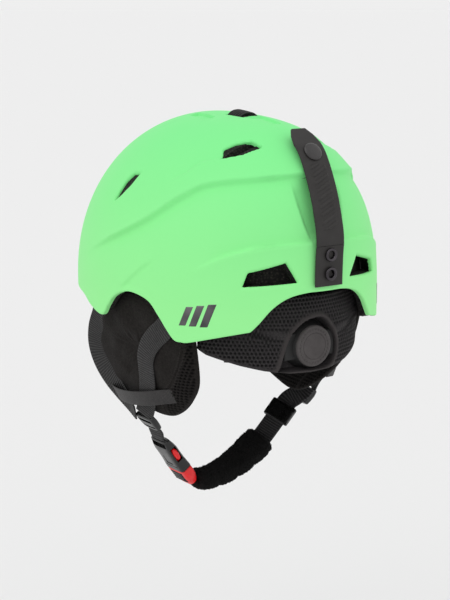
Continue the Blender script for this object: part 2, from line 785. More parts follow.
def ribbon(name, stations, width, thickness, material, rib=0.0, pitch=2.1, step=0.35, widths=((0, 1), (1, 1)),
           relief=None):
    """A flat strap through (point, direction across) stations, ribbed across if rib is given."""
    length = travelled(np.array([p for p, _ in stations], float))[-1]
    count = max(8, int(length / step))
    path, side, out, even = strap_frame(stations, count)
    section = strap_section(width, thickness, 41 if relief else 13)
    scale = np.interp(np.linspace(0, 1, count), *zip(*widths))
    rows = []
    for k in range(count):
        swell = rib * math.cos(2 * math.pi * even[k] / pitch)
        across = section[:, 0] * scale[k]
        lift = section[:, 1] + np.sign(section[:, 1]) * swell * (np.abs(section[:, 0]) < width / 2 - 0.7)
        if relief:
            lift = lift + relief(even[k], across) * (section[:, 1] > 0)
        rows.append(path[k] + side[k] * across[:, None] + out[k] * lift[:, None])
    faces = [face[::-1] for face in tube_faces(count, len(section))]
    piece = mesh_piece(name, np.concatenate(rows), faces, material)
    recalculate(piece)
    if rib:
        groove = 0.5 - 0.5 * np.cos(2 * math.pi * even / pitch)
        set_attribute(piece, "groove", np.repeat(groove, len(section)))
    return piece


def ear_stations(route):
    """(y, z, gap) places, some with degrees turned edge-out, as (point, direction across) stations."""
    points = np.array([on_ear(*place[:3]) for place in route])
    along = np.gradient(points, axis=0)
    stations = []
    for point, way, normal, place in zip(points, along, ear_normal(points), route):
        across, turn = unit(np.cross(way, normal)), math.radians(sum(place[3:]))
        stations.append((point, across * math.cos(turn) + normal * math.sin(turn)))
    return stations


def webbing_look(name, colour):
    """Ribbed webbing, darkest in the grooves that ribbon marks."""
    look = Look(name, 0.5, Specular_IOR_Level=0.3)
    base, worn = srgb(*colour), srgb(*(int(c * 1.45) for c in colour))
    yarn = look.ramp(look.noise(420, 4, 0.7), (0.3, base), (0.75, worn))
    look.colour(look.mix(look.math("MULTIPLY", look.attribute("groove"), 0.85), yarn, srgb(8, 8, 8)))
    look.bump(look.noise(3200, 2), 0.00008, 0.6)
    return look.material


# places on the ear pads' curved face: y, z, gap outwards and, on the front strap, degrees turned edge-out
FRONT_ROUTE = [(-26, 27, 1.9, 0), (-28, 14, 1.9, 6), (-34, 1, 2.4, 16), (-41.5, -11, 3.4, 28),
               (-47, -23, 4.2, 36), (-47.5, -33, 4.8, 38), (-43, -42.5, 5.0, 36), (-34.5, -51.5, 5.0, 30),
               (-24, -60, 5.0, 22), (-13, -68, 6.4, 10), (-4, -74.5, 9.0, 0)]
REAR_ROUTE = [(66, 28, 1.9), (63, 16, 1.9), (55, 6, 1.9), (45.5, -2, 1.9), (37, -11, 2.0), (31.5, -21, 2.2),
              (29, -32, 2.4), (25.5, -43, 2.6), (19.5, -54, 2.8), (13, -64, 4.0), (8, -73, 7.6)]
LOOP_ROUTE = [(-30, -61, 1.0), (-34, -61.5, 5.2), (-27, -61.8, 7.6), (-13, -61, 8.2), (2, -59.2, 8.2),
              (15, -57, 7.6), (27, -54.5, 6.2), (37, -52, 3.8), (44, -50.4, 1.6), (48, -49.6, 0.0)]
LOOP_WIDTH, LOOP_THICK, LOOP_DRAWN_IN = 13.0, 1.1, 6.5
STRAP_THICK = 1.5
SAG, SAG_X, SAG_TOP, SAG_DEPTH = math.radians(7.2), -93.0, 28.0, 90.0


def sag(piece):
    """The right pad hangs further in towards its lower end."""
    points = points_of(piece)
    x, z = points[:, 0] - SAG_X, points[:, 2] - SAG_TOP
    turn = SAG * np.clip(-z / SAG_DEPTH, 0, 1) ** 0.9
    points[:, 0] = SAG_X + x * np.cos(turn) - z * np.sin(turn)
    points[:, 2] = SAG_TOP + z * np.cos(turn) + x * np.sin(turn)
    move_points(piece, points)


def build_side_straps():
    """The V of webbing on each ear pad and the elastic loop round it, drawn in at its ends on the right."""
    web, elastic = webbing_look("webbing", (46, 45, 45)), webbing_look("elastic_band", (48, 46, 46))

    def loop(name, route):
        return ribbon(name, ear_stations(route), LOOP_WIDTH, LOOP_THICK, elastic, 0.04, 1.2)

    front = ribbon("front_strap_web_left", ear_stations(FRONT_ROUTE), WEB_WIDTH, STRAP_THICK, web, 0.28)
    rear = ribbon("rear_strap_web_left", ear_stations(REAR_ROUTE), WEB_WIDTH, STRAP_THICK, web, 0.24)
    left_loop = loop("ear_loop_band_left", LOOP_ROUTE)
    last = len(LOOP_ROUTE) - 1
    drawn_loop = loop("drawn_loop", [(y, z, gap - LOOP_DRAWN_IN * (1 - min(1, k / 2, (last - k) / 2)))
                                     for k, (y, z, gap) in enumerate(LOOP_ROUTE)])
    right = [mirrored("front_strap_web_right", front), mirrored("rear_strap_web_right", rear),
             mirrored("ear_loop_band_right", drawn_loop)]
    bpy.data.objects.remove(drawn_loop)
    for side, flip, pieces in (("left", 1, (front, rear, left_loop)), ("right", -1, right)):
        finish_piece(pieces[0], "helmet", "webbing", f"front_strap_{side}")
        finish_piece(pieces[1], "helmet", "webbing", f"rear_strap_{side}")
        finish_piece(pieces[2], None, "elastic", f"ear_pad_loop_{side}")
        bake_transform(pieces[2])


# ---- ear pads ----

EAR_OUTLINE = [(-58, -26), (-50, 0), (-33, 18), (-8, 29), (26, 31.5), (56, 28), (74, 13), (76.5, -10),
               (71.5, -36), (59, -53), (43, -65.5), (24, -73), (0, -72), (-32, -63), (-53, -47)]
MESH_SEAM = [(72, 14), (68, -12), (54, -36), (36, -53), (24, -78)]
EAR_WALL, EAR_CLEAR, BELT_CLEAR, EAR_MESH_PITCH = 12.0, 0.4, 2.0, 3.1
PUFF_FRAMES = 20
CLOTH = {"use_pressure": True, "quality": 5, "mass": 0.2, "bending_stiffness": 0.3, "tension_stiffness": 12,
         "compression_stiffness": 6}


def pillow(name, outline, centre, place, thickness, rings, material, power):
    """A closed pad: place(y, z, gap) gives the outer face's points; gap is measured outwards."""
    around = len(outline)
    verts, faces = [], []
    for face_side in (1, -1):
        for k in range(0 if face_side == 1 else 1, rings):
            share = 1 - (k / rings)
            swell = (1 - share**power) ** (1 / 2.2)
            flat = centre + (outline - centre) * share
            verts.append(place(*flat.T, -thickness / 2 + face_side * swell * thickness / 2))
    tips = [place(centre[:1], centre[1:], -thickness / 2 + s * thickness / 2) for s in (1, -1)]
    points = np.vstack(verts + tips)
    outer = [k * around for k in range(rings)]
    inner = [0] + [(rings + k) * around for k in range(rings - 1)]
    for starts, flip in ((outer, False), (inner, True)):
        for a, b in zip(starts, starts[1:]):
            for i in range(around):
                j = (i + 1) % around
                quad = (a + i, a + j, b + j, b + i)
                faces.append(quad[::-1] if flip else quad)
    tip = (2 * rings - 1) * around
    for i in range(around):
        j = (i + 1) % around
        faces.append((outer[-1] + i, outer[-1] + j, tip))
        faces.append((inner[-1] + j, inner[-1] + i, tip + 1))
    piece = mesh_piece(name, points, faces, material)
    recalculate(piece)
    return piece


def puff(piece, cap, pressure, shrink=0.0):
    """Cloth simulation under pressure, each point's travel capped, applied to the mesh."""
    rest = points_of(piece) * MM
    cloth = piece.modifiers.new("cloth", "CLOTH")
    for key, value in (CLOTH | {"uniform_pressure_force": pressure, "shrink_min": shrink}).items():
        setattr(cloth.settings, key, value)
    cloth.settings.effector_weights.gravity = 0
    scene = bpy.context.scene
    for step in range(1, PUFF_FRAMES + 1):
        scene.frame_set(step)
    solved = piece.evaluated_get(bpy.context.evaluated_depsgraph_get())
    moved = points_of(solved) * MM - rest
    travel = np.linalg.norm(moved, axis=1, keepdims=True)
    moved *= np.minimum(1, cap * MM / np.maximum(travel, 1e-9))
    piece.modifiers.remove(cloth)
    piece.data.vertices.foreach_set("co", (rest + moved).ravel())
    scene.frame_set(1)


def subdivide(piece, levels):
    apply_modifier(piece, "SUBSURF", levels=levels, render_levels=levels)


def displace(piece, height):
    """height(points, normals) gives millimetres outwards at each vertex."""
    piece.data.update()
    normals = np.array([v.vector for v in piece.data.vertex_normals])
    points = points_of(piece)
    move_points(piece, points + normals * height(points, normals)[:, None])


def hex_holes(u, v, pitch):
    """1 in the middle of each hole of a staggered mesh, 0 on its threads."""
    row = pitch * math.sqrt(3) / 2
    best = np.full(len(u), 9.0)
    for shift_u, shift_v in ((0, 0), (pitch / 2, row)):
        du = (u - shift_u + pitch / 2) % pitch - pitch / 2
        dv = (v - shift_v + row) % (2 * row) - row
        best = np.minimum(best, np.hypot(du * 0.92, dv * 1.06))
    return smooth_step(-best, -pitch * 0.44, -pitch * 0.2)


def ear_cloth():
    """Brushed cloth, near black in its mesh holes, with a grey stitching thread."""
    look = Look("ear_fabric", 0.95, Sheen_Weight=0.03, Sheen_Roughness=0.6, Specular_IOR_Level=0.06)
    plain = look.ramp(look.noise(500, 6, 0.75), (0.3, srgb(20, 18, 17)), (0.8, srgb(44, 41, 39)))
    pile = look.mix(look.attribute("hole"), plain, srgb(2, 2, 2))
    look.colour(look.mix(look.attribute("thread"), pile, srgb(50, 47, 46)))
    look.bump(look.noise(2400, 4, 0.7), 0.0003, 0.7)
    return look.material


def ear_details(points, normals):
    """Relief, mesh holes and stitching thread at each point of the left ear pad."""
    seam, rim = curve_through(MESH_SEAM, 60), closed_curve(EAR_OUTLINE, 240)
    outer = normals[:, 0] > 0.15
    flat = points[:, 1:]
    edge = -polygon_distance(flat, rim)
    gap, side, along = line_distance(flat, seam)
    meshed = ((side > 0) | (normals[:, 0] < -0.15)) & (edge > 1.5)
    holes = hex_holes(flat[:, 0], flat[:, 1], EAR_MESH_PITCH) * meshed * smooth_step(gap, 1.0, 2.2)
    lift = -0.9 * holes - 0.9 * np.exp(-(gap / 0.8) ** 2) * outer
    for inset in (6.0, 8.2):
        lift -= 0.35 * np.exp(-((edge - inset) / 0.5) ** 2) * outer * (side < 0)
    stitch = np.sin(2 * math.pi * along * 46) > -0.2
    thread = 0.7 * stitch * np.exp(-((gap - 1.7) / 0.35) ** 2) * outer
    folds = np.sin(flat[:, 0] * 0.16 + 1.3 * np.sin(flat[:, 1] * 0.06)) * np.sin(flat[:, 1] * 0.11 + 0.8)
    lift += 0.9 * folds * (side < 0) * smooth_step(edge, 3, 14) * outer
    return lift, holes, thread


def build_ear_pads():
    """The left pad, kept clear of the belts on its inner face, and the right one, which sags inwards."""
    outline = closed_curve(EAR_OUTLINE, 120)
    pad = pillow("ear_cushion_left", outline, np.array([20.0, -20.0]), on_ear, EAR_WALL - 1.0, 18,
                 ear_cloth(), 7.0)
    puff(pad, 1.6, pressure=3.0, shrink=-0.02)
    subdivide(pad, 2)
    marks = {}

    def relief(points, normals):
        lift, marks["hole"], marks["thread"] = ear_details(points, normals)
        return lift

    displace(pad, relief)
    points = points_of(pad)
    near_belt = smooth_step(points[:, 2], -22, -8)
    inner, inner_belt = (on_ear(points[:, 1], points[:, 2], clear - EAR_WALL)[:, 0]
                         for clear in (EAR_CLEAR, BELT_CLEAR))
    points[:, 0] = np.maximum(points[:, 0], inner + (inner_belt - inner) * near_belt)
    move_points(pad, points)
    set_attribute(pad, "hole", marks["hole"])
    set_attribute(pad, "thread", marks["thread"])
    twin = mirrored("ear_cushion_right", pad)
    sag(twin)
    for side, piece in (("left", pad), ("right", twin)):
        finish_piece(piece, f"ear_{side}", "ear_fabric", f"ear_pad_{side}")


# ---- nape pad ----

NAPE_HALF_ANGLE = math.radians(52)
POCKET = [(-8, 21.5), (6, 20.5), (15.5, 14), (22, 4), (27, -14), (27.5, -18.5), (12, -18.6), (-13, -18.6),
          (-22, -12), (-23.5, 0), (-18, 12)]
# the pad's edges, as (share of the way round, z)
NAPE_LOW = [(0, -26), (0.22, -25.5), (0.44, -23), (0.64, -19), (0.8, -15), (0.92, -12), (1.0, -8)]
NAPE_HIGH = [(0, 34), (0.6, 33), (0.8, 28), (0.93, 17), (1.0, 6)]
NAPE_WIDE, NAPE_DEEP, NAPE_THICK, NAPE_MESH_PITCH = 98.0, 122.0, 11.0, 3.5


def nape_ellipse(share, inset=0.0):
    """share -1 (wearer's right) to 1 (wearer's left) round the nape."""
    turn = math.pi / 2 - share * NAPE_HALF_ANGLE
    a, b = NAPE_WIDE - inset, NAPE_DEEP - inset
    return np.stack([a * np.cos(turn), b * np.sin(turn)], axis=-1)


def build_nape_pad():
    """A spacer-mesh pad bent round the nape, with a lipped pocket for the dial."""
    columns, ring = 300, 150
    share = np.linspace(-1, 1, columns)
    low, high = (np.interp(np.abs(share), *zip(*edge)) for edge in (NAPE_LOW, NAPE_HIGH))
    thick = NAPE_THICK * np.sqrt(np.clip(1 - np.abs(share) ** 5, 0.0, 1)) + 0.4
    spin = np.linspace(0, 2 * math.pi, ring, endpoint=False)
    shape_out = np.sign(np.cos(spin)) * np.abs(np.cos(spin)) ** 0.28
    shape_up = np.sign(np.sin(spin)) * np.abs(np.sin(spin)) ** 0.75
    grid = np.zeros((columns, ring, 3))
    for k in range(columns):
        middle, half = (low[k] + high[k]) / 2, (high[k] - low[k]) / 2
        inset = 6.0 - shape_out * thick[k] / 2
        grid[k, :, :2] = nape_ellipse(share[k], inset)
        grid[k, :, 2] = middle + shape_up * half
    x, z = grid[..., 0], grid[..., 2]
    outer = np.broadcast_to(shape_out > 0.25, x.shape)
    local = np.stack([x.ravel(), z.ravel() - DIAL_Z], 1)
    pocket = polygon_distance(local, closed_curve(POCKET, 120)).reshape(x.shape)
    floor = 108.6 * np.sqrt(np.clip(1 - (x / 86.6) ** 2, 0, 1))
    sink = smooth_step(-pocket, 0.0, 2.6)
    grid[..., 1] = np.where(outer, grid[..., 1] * (1 - sink) + np.minimum(grid[..., 1], floor) * sink,
                            grid[..., 1])
    round_turn = np.arctan2(x / NAPE_WIDE, grid[..., 1] / NAPE_DEEP) * 116
    holes = hex_holes(round_turn.ravel(), z.ravel(), NAPE_MESH_PITCH).reshape(x.shape)
    hem = np.broadcast_to(np.minimum(z - low[:, None], 40), x.shape)
    keep = smooth_step(hem, 2.0, 3.2) * smooth_step(pocket, 2.2, 3.4) * outer
    holes = holes * keep
    lip = np.exp(-((pocket - 1.2) / 1.1) ** 2) * outer * 0.9 + np.exp(-((hem - 1.0) / 1.0) ** 2) * 0.4
    radial = np.stack([x / NAPE_WIDE**2, grid[..., 1] / NAPE_DEEP**2, np.zeros_like(x)], axis=-1)
    radial /= np.linalg.norm(radial, axis=2, keepdims=True)
    puffed = 0.8 * np.sin(round_turn * 0.12) * np.sin(z * 0.13) * outer
    grid += radial * (lip - 1.15 * holes + puffed * keep)[..., None]
    piece = mesh_piece("nape_cushion", grid.reshape(-1, 3), tube_faces(columns, ring), spacer_look())
    recalculate(piece)
    set_attribute(piece, "hole", holes.ravel())
    set_attribute(piece, "lip", np.clip(1.3 * np.exp(-((pocket - 1.5) / 1.7) ** 2) * outer, 0, 1).ravel())
    finish_piece(piece, "cradle", "spacer_mesh", "nape_pad", "nape_pad_binding")


def spacer_look():
    """Open mesh: near black in the holes, greyer along the pocket's lip."""
    look = Look("spacer_mesh", 0.7, Specular_IOR_Level=0.18)
    threads = look.ramp(look.noise(900, 4, 0.7), (0.3, srgb(34, 32, 33)), (0.8, srgb(64, 61, 62)))
    deep = look.mix(look.attribute("hole"), threads, srgb(1, 1, 1))
    look.colour(look.mix(look.attribute("lip"), deep, srgb(58, 54, 54)))
    look.bump(look.noise(3000, 3), 0.0002, 0.6)
    return look.material


# ---- turned pieces: dial, rivets, snap ----

def turned(name, origin, axis, profile, material, segments=96, flutes=0, flute_depth=0.0, flute_from=0.0):
    """A lathe piece: profile is (radius, height along axis) from the inside round to the outside."""
    axis = unit(axis)
    helper = np.array([1.0, 0, 0]) if abs(axis[0]) < 0.9 else np.array([0, 0, 1.0])
    first = unit(np.cross(axis, helper))
    second = np.cross(axis, first)
    verts = []
    for radius, height in profile:
        for i in range(segments):
            turn = 2 * math.pi * i / segments
            r = radius
            if flutes and radius > flute_from:
                r -= flute_depth * (0.5 + 0.5 * math.cos(flutes * turn)) ** 2
            verts.append(origin + axis * height + (first * math.cos(turn) + second * math.sin(turn)) * r)
    hollow = profile[0][0] > 0.01 and profile[-1][0] > 0.01
    faces = grid_faces(len(profile), segments, wrap_columns=True, wrap_rows=hollow)
    piece = mesh_piece(name, verts, faces, material)
    with editing(piece) as work:
        bmesh.ops.remove_doubles(work, verts=work.verts, dist=1e-6)
        bmesh.ops.recalc_face_normals(work, faces=work.faces)
    piece.data.shade_smooth()
    return piece


def rounded_profile(points, radius, steps=3):
    """A profile whose corners are rounded."""
    points = [np.array(p, float) for p in points]
    out = [points[0]]
    for a, b, c in zip(points, points[1:], points[2:]):
        back, on = unit(a - b), unit(c - b)
        r = min(radius, np.linalg.norm(a - b) / 2.1, np.linalg.norm(c - b) / 2.1)
        for t in np.linspace(0, 1, steps):
            out.append((1 - t) ** 2 * (b + back * r) + 2 * t * (1 - t) * b + t * t * (b + on * r))
    out.append(points[-1])
    return [tuple(p) for p in out]


DOT_COUNT, DOT_RING = 30, 12.9
RIVET_HEIGHTS = (52.7, 67.0)


def build_dial():
    """The knob with its ring of dots, and the round collar and tray behind it."""
    rubber = moulded("knob_rubber", (64, 60, 60), 0.6, grain=1500, depth=0.00006, Specular_IOR_Level=0.3)
    face = [(0.0, -0.25), (9.9, -0.25), (10.2, -0.8), (10.5, -0.25), (14.2, -0.2), (15.3, -0.6), (16.0, -1.6),
            (16.1, -3.0), (0.0, -3.2)]
    knob = turned("dial_knob_body", KNOB_FACE, (0, 1, 0), rounded_profile(face, 0.7, 4), rubber, 288,
                  flutes=72, flute_depth=0.22, flute_from=15.5)
    dot = rounded_profile([(0, 0.55), (0.65, 0.5), (0.85, -0.2), (0, -0.25)], 0.15)
    dots = []
    for i in range(DOT_COUNT):
        turn = 2 * math.pi * i / DOT_COUNT
        spot = KNOB_FACE + np.array([DOT_RING * math.cos(turn), -0.25, DOT_RING * math.sin(turn)])
        dots.append(turned(f"dial_dot_{i}", spot, (0, 1, 0), dot, rubber, 12))
    join(knob, dots)
    finish_piece(knob, "dial", "knob_rubber", "dial_knob")
    black = moulded("collar_black", (12, 12, 12), 0.6)
    collar = turned("dial_collar", np.array([0.0, 0.0, DIAL_Z]), (0, 1, 0), rounded_profile(
        [(0, 118.6), (14.6, 118.6), (15.6, 117.2), (18.4, 112.6), (19.6, 110.8), (20.0, 108.4), (0, 108.4)],
        0.5, 4), black)
    x, y, z = np.eye(3)
    tray = mesh_box("rack_tray", np.zeros(3), z, x, y, (0, 112.5, DIAL_Z), (46.8, 7.6, 20.6), black, 1.6)
    join(collar, [tray])
    finish_piece(collar, "cradle", "fit_plastic", "dial_housing", "housing_cover", "housing_screws")


def build_snaps():
    """The goggle strap's two eyelet rivets and its snap cap."""
    dark = metal("dark_metal", (66, 63, 66), 0.2)
    eyelet = rounded_profile([(2.6, -2.6), (2.6, 0.6), (3.2, 1.5), (4.2, 1.75), (5.0, 1.2), (5.2, 0.1),
                              (4.0, -0.4), (3.2, -2.6)], 0.4, 4)
    post = rounded_profile([(0, -1.4), (2.2, -1.4), (2.7, -0.4), (2.7, -2.4), (0, -2.4)], 0.2)
    rings = [turned("eyelet", np.array([0, 141.5, z]), (0, 1, 0), profile, dark)
             for z in RIVET_HEIGHTS for profile in (eyelet, post)]
    join(rings[0], rings[1:])
    finish_piece(rings[0], "helmet", "dark_metal", "goggle_strap_rivets")
    rings[0].name = "eyelet_rivets"
    axis = unit((0, 0.79, 0.61))
    cap = turned("snap_button", np.array([0, 116.5, 140.0]) + axis * 1.9, axis, rounded_profile(
        [(0, 1.9), (3.5, 1.75), (6.0, 1.2), (7.1, 0.5), (7.5, -0.1), (7.2, -0.8), (0, -0.8)], 0.5, 4),
        moulded("snap_black", (40, 38, 38), 0.24, grain=1800, depth=0.00003))
    finish_piece(cap, "goggle_flap", "dark_metal", "snap_cap")


# ---- goggle strap ----

EMBOSS_START, EMBOSS_LENGTH, EMBOSS_PITCH, EMBOSS_HALF_WIDTH = 12.0, 49.0, 6.0, 7.0
EMBOSS_SLANT, EMBOSS_BAR, EMBOSS_HEIGHT = 0.45, 2.6, 0.85


def emboss(distance, across):
    """Raised slanted bars down the strap."""
    place = distance - EMBOSS_START
    slanted = (place + across * EMBOSS_SLANT) % EMBOSS_PITCH
    bar = smooth_step(slanted, 0.0, 0.35) * (1 - smooth_step(slanted, EMBOSS_BAR, EMBOSS_BAR + 0.35))
    inside = (place > 0) & (place < EMBOSS_LENGTH)
    return EMBOSS_HEIGHT * bar * inside * smooth_step(EMBOSS_HALF_WIDTH - np.abs(across), 0, 0.6)


GOGGLE_WIDTH, GOGGLE_THICK = 25.0, 2.2
# the strap's lower, riveted part and its flap, from the side (y, z)
GOGGLE_BASE = [(139.0, 43.4), (139.1, 52.7), (139.7, 66), (140.4, 73.7)]
GOGGLE_FLAP = [(140.5, 73.8), (140.0, 82), (137.8, 92), (132.4, 109.5), (124.8, 126.3), (116.5, 140),
               (107, 148.8), (98.5, 155.6)]
FLAP_WIDTHS = [(0, 1), (0.84, 0.98), (0.93, 0.8), (1.0, 0.52)]


def build_goggle_strap():
    look = Look("strap_rubber", 0.55, Specular_IOR_Level=0.3)
    look.colour(look.ramp(look.noise(80, 5, 0.6), (0.3, srgb(42, 40, 39)), (0.8, srgb(52, 50, 49))))
    look.bump(look.noise(1900, 3), 0.00008, 0.5)
    base, flap = ([((0, y, z), (1, 0, 0)) for y, z in route] for route in (GOGGLE_BASE, GOGGLE_FLAP))
    base = ribbon("goggle_strap_lower", base, GOGGLE_WIDTH, GOGGLE_THICK, look.material, step=0.5)
    flap = ribbon("goggle_strap_tab", flap, GOGGLE_WIDTH, GOGGLE_THICK, look.material, step=0.3,
                  widths=FLAP_WIDTHS, relief=emboss)
    finish_piece(base, "helmet", "strap_rubber", "goggle_strap_base")
    finish_piece(flap, "goggle_flap", "strap_rubber", "goggle_strap_flap")


# ---- chin strap ----

def chin_stations(*places):
    """(x, z, direction across, and how far behind the pivot) places as stations."""
    return [((x, PIVOT_Y + sum(behind), z), across) for x, z, across, *behind in places]


REARWARD = (0, 1, 0)
RIGHT_ACROSS = (-0.376, 0.857, -0.355)
LEFT_WEB = chin_stations(
    (79.5, -75.5, REARWARD), (75.5, -80, REARWARD), (71.8, -84.5, REARWARD), (69.0, -89.5, (-0.1, 0.99, 0)),
    (67.5, -94.5, REARWARD), (64.8, -98.6, REARWARD), (62.4, -101.0, REARWARD))
CHIN_ROUTE = chin_stations(
    (33.0, -134.6, REARWARD), (23, -136.0, (-0.15, 0.97, 0.1)), (8, -133.5, (-0.2, 0.97, 0)),
    (-7, -127.4, (-0.25, 0.95, -0.1)), (-21.6, -118.7, (-0.33, 0.9, -0.25)), (-33.6, -110.3, RIGHT_ACROSS))
RIGHT_WEB = chin_stations(
    (-30, -113.5, RIGHT_ACROSS), (-43, -100.4, RIGHT_ACROSS), (-52, -91.0, RIGHT_ACROSS),
    (-60, -82.8, RIGHT_ACROSS), (-65.8, -78.6, (-0.34, 0.88, -0.32), 3),
    (-71.2, -75.2, (-0.25, 0.93, -0.28), 5), (-75.5, -70.6, (-0.15, 0.96, -0.2), 6))


def block(name, origin, along, across, sections, material, cuts=(), segments=40):
    """A lofted moulding along an axis, less its cuts, which are (centre, size) of boxes as in mesh_box.

    Sections are (distance, half width, half thickness, squareness).
    """
    along, across = unit(along), np.asarray(across, float)
    across = unit(across - along * (across @ along))
    out = np.cross(along, across)
    turn = np.linspace(0, 2 * math.pi, segments, endpoint=False)
    verts = []
    for distance, half_width, half_thick, square in sections:
        u, v = rounded_square(turn, square)
        verts.append(origin + along * distance + across * (half_width * u)[:, None]
                     + out * (half_thick * v)[:, None])
    piece = mesh_piece(name, np.vstack(verts), tube_faces(len(sections), segments), material)
    recalculate(piece)
    for centre, size in cuts:
        tool = mesh_box("cut", origin, along, across, out, centre, size)
        apply_modifier(piece, "BOOLEAN", object=tool, operation="DIFFERENCE", solver="EXACT")
        bpy.data.objects.remove(tool)
    return piece


def mesh_box(name, origin, along, across, out, centre, size, material=None, bevel=0.0):
    """A box whose centre and size are across, outward and along distances."""
    half = (-0.5, 0.5)
    corners = [origin + across * (centre[0] + u * size[0]) + out * (centre[1] + v * size[1])
               + along * (centre[2] + w * size[2]) for w in half for v in half for u in half]
    faces = [(0, 2, 3, 1), (4, 5, 7, 6), (0, 1, 5, 4), (2, 6, 7, 3), (0, 4, 6, 2), (1, 3, 7, 5)]
    data = bpy.data.meshes.new(name)
    data.from_pydata((np.array(corners) * MM).tolist(), [], faces)
    if material:
        data.materials.append(material)
    piece = bpy.data.objects.new(name, data)
    bpy.context.collection.objects.link(piece)
    with editing(piece) as work:
        bmesh.ops.recalc_face_normals(work, faces=work.faces)
        if bevel:
            bmesh.ops.bevel(work, geom=work.edges[:], offset=bevel * MM, segments=3, profile=0.5,
                            affect="EDGES")
    return piece


def soften(piece, width):
    """Small rounded edges, applied, with flat faces kept flat."""
    apply_modifier(piece, "BEVEL", width=width * MM, segments=2, limit_method="ANGLE",
                   angle_limit=math.radians(35))
    piece.data.shade_smooth()
    apply_modifier(piece, "WEIGHTED_NORMAL", keep_sharp=True)


MOUTH = 24.4
PLUG_START = MOUTH + 0.2


def build_buckle():
    """The black socket, the red plug with its black grips, and the two red release tabs."""
    black = moulded("black_plastic", (12, 12, 12), 0.25, grain=1400, depth=0.00003)
    red = moulded("buckle_red", (206, 16, 20), 0.34, grain=1300, depth=0.00003)
    across = np.array([0, 1.0, 0])
    along, low = BUCKLE_ALONG, PLUG_START
    out = np.cross(along, across)
    female = block("buckle_socket", BUCKLE_START, along, across,
                   [(-6.8, 11.0, 2.2, 4), (-6.2, 11.8, 3.0, 4), (-1.0, 12.3, 4.2, 5), (3, 12.2, 4.7, 6),
                    (8, 11.6, 4.8, 6), (14, 11.6, 4.9, 6), (18.4, 12.3, 5.1, 6), (MOUTH - 0.6, 12.9, 5.4, 6),
                    (MOUTH, 12.5, 5.0, 6)],
                   black, [((0, 0, 15.4), (18.6, 5.6, 20)), ((0, 0, 7.8), (30, 5.4, 13.8)),
                           ((0, 0, -3.2), (19, 14, 4.6))]
                   + [((0, face * 5.1, 13.5), (9, 0.8, 8)) for face in (1, -1)]
                   + [((0, face * 5.3, 19.6), (30, 0.9, 0.7)) for face in (1, -1)])
    soften(female, 0.4)
    finish_piece(female, "chin_left", "black_plastic", "buckle_female")
    male = block("buckle_plug", BUCKLE_START, along, across,
                 [(low, 12.4, 4.8, 6), (low + 0.6, 12.8, 5.2, 6), (low + 5, 12.6, 5.3, 6),
                  (low + 9, 11.8, 5.2, 5), (low + 13.5, 9.8, 4.7, 4.5), (low + 16.6, 8.2, 3.6, 4),
                  (low + 17.4, 7.4, 2.8, 3)], red,
                 [((0, side * 5.4, low + 7.2), (17.5, 2.6, 10.6)) for side in (1, -1)])
    soften(male, 0.5)
    tongue = block("buckle_tongue", BUCKLE_START, along, across,
                   [(low - 14, 2.2, 1.7, 5), (low - 13, 2.5, 2.0, 5), (low + 0.5, 2.6, 2.0, 5)], red)
    join(male, [tongue])
    finish_piece(male, "chin_right", "buckle_red", "buckle_male")
    ribs = []
    for face in (1, -1):
        ribs.append(mesh_box("grip_plate", BUCKLE_START, along, across, out, (0, face * 4.4, low + 7.2),
                             (17.0, 1.4, 10.2), black, 0.4))
        for i in range(5):
            ribs.append(mesh_box("grip_rib", BUCKLE_START, along, across, out,
                                 (0, face * 5.2, low + 3.4 + i * 1.9), (15.6, 1.0, 1.0), black, 0.3))
    join(ribs[0], ribs[1:])
    ribs[0].name = "buckle_grip_ribs"
    finish_piece(ribs[0], "chin_right", "black_plastic", "buckle_grips")
    for side, word in ((1, "rear"), (-1, "front")):
        prong = block(f"release_tab_{word}", BUCKLE_START + across * side * 8.0, along, across,
                      [(2.4, 0.8, 1.3, 4), (4, 1.1, 2.0, 4), (low + 0.3, 1.0, 2.0, 4)], red)
        bulge = block("tab", BUCKLE_START + across * side * 10.2, along, across,
                      [(2.4, 0.8, 0.9, 2.4), (3.0, 1.7, 1.6, 2.4), (4.6, 2.5, 2.2, 2.6), (8.0, 2.9, 2.4, 2.6),
                       (11.2, 2.5, 2.2, 2.6), (12.9, 1.7, 1.6, 2.4), (13.5, 0.8, 0.9, 2.4)], red, segments=28)
        join(prong, [bulge])
        finish_piece(prong, f"prong_{word}", "buckle_red", f"release_prong_{word}")
    return black


